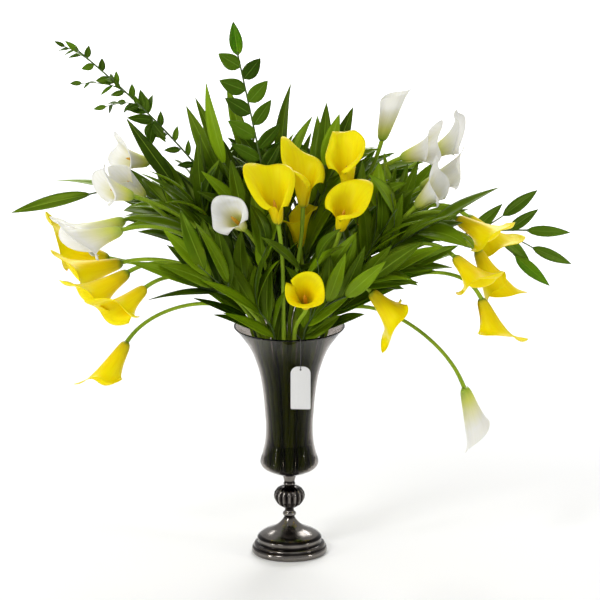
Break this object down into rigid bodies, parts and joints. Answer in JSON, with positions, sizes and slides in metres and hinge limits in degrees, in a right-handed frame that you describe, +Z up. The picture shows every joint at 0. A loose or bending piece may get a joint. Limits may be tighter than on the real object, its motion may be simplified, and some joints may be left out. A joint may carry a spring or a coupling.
{
  "type": "calla lily arrangement in a footed glass vase",
  "caption": "Yellow and white calla lilies with leafy stems and ruscus sprays, standing in water in a smoked-glass trumpet vase on a fluted metal foot.",
  "frame": {"origin": "centre of the flat underside of the metal foot", "axes": "+Z up along the vase's axis, -Y towards the front that carries the tag, +X to the right of that front"},
  "size_m": [1.0048, 0.5719, 0.9666],
  "materials": {
    "dark_metal": "polished dark metal",
    "smoked_glass": "clear smoked glass",
    "water": "still water",
    "card": "matte white card",
    "string": "thin twisted thread",
    "calla_stem": "smooth green stem",
    "yellow_spathe": "satin yellow spathe",
    "white_spathe": "satin white spathe",
    "leaf": "waxy green leaf",
    "ruscus_leaf": "waxy dark green leaf"
  },
  "bodies": {
    "root": {"vase_foot": "dark_metal", "vase_bowl": "smoked_glass", "water": "water", "tag": "card", "tag_string": "string", "calla_stems_right": "calla_stem", "calla_stems_back_right": "calla_stem", "calla_stems_back": "calla_stem", "calla_stems_back_left": "calla_stem", "calla_stems_left": "calla_stem", "calla_stems_front_left": "calla_stem", "calla_stems_front": "calla_stem", "calla_stems_front_right": "calla_stem", "yellow_bloom_01": "yellow_spathe", "yellow_bloom_02": "yellow_spathe", "yellow_bloom_03": "yellow_spathe", "yellow_bloom_04": "yellow_spathe", "yellow_bloom_05": "yellow_spathe", "yellow_bloom_06": "yellow_spathe", "yellow_bloom_07": "yellow_spathe", "yellow_bloom_08": "yellow_spathe", "yellow_bloom_09": "yellow_spathe", "yellow_bloom_10": "yellow_spathe", "yellow_bloom_11": "yellow_spathe", "yellow_bloom_12": "yellow_spathe", "yellow_bloom_13": "yellow_spathe", "white_bloom_01": "white_spathe", "white_bloom_02": "white_spathe", "white_bloom_03": "white_spathe", "white_bloom_04": "white_spathe", "white_bloom_05": "white_spathe", "white_bloom_06": "white_spathe", "yellow_bloom_14": "yellow_spathe", "white_bloom_07": "white_spathe", "yellow_bloom_15": "yellow_spathe", "white_bloom_08": "white_spathe", "white_bloom_09": "white_spathe", "white_bloom_10": "white_spathe", "white_bloom_11": "white_spathe", "yellow_bloom_16": "yellow_spathe", "yellow_bloom_17": "yellow_spathe", "white_bloom_12": "white_spathe", "yellow_bloom_18": "yellow_spathe", "yellow_bloom_19": "yellow_spathe", "white_bloom_13": "white_spathe", "leafy_stem_01": "leaf", "leafy_stem_02": "leaf", "leafy_stem_03": "leaf", "leafy_stem_04": "leaf", "leafy_stem_05": "leaf", "leafy_stem_06": "leaf", "leafy_stem_07": "leaf", "leafy_stem_08": "leaf", "leafy_stem_09": "leaf", "leafy_stem_10": "leaf", "leafy_stem_11": "leaf", "ruscus_spray_01": "ruscus_leaf", "ruscus_spray_02": "ruscus_leaf", "ruscus_spray_03": "ruscus_leaf"}
  },
  "joints": []
}
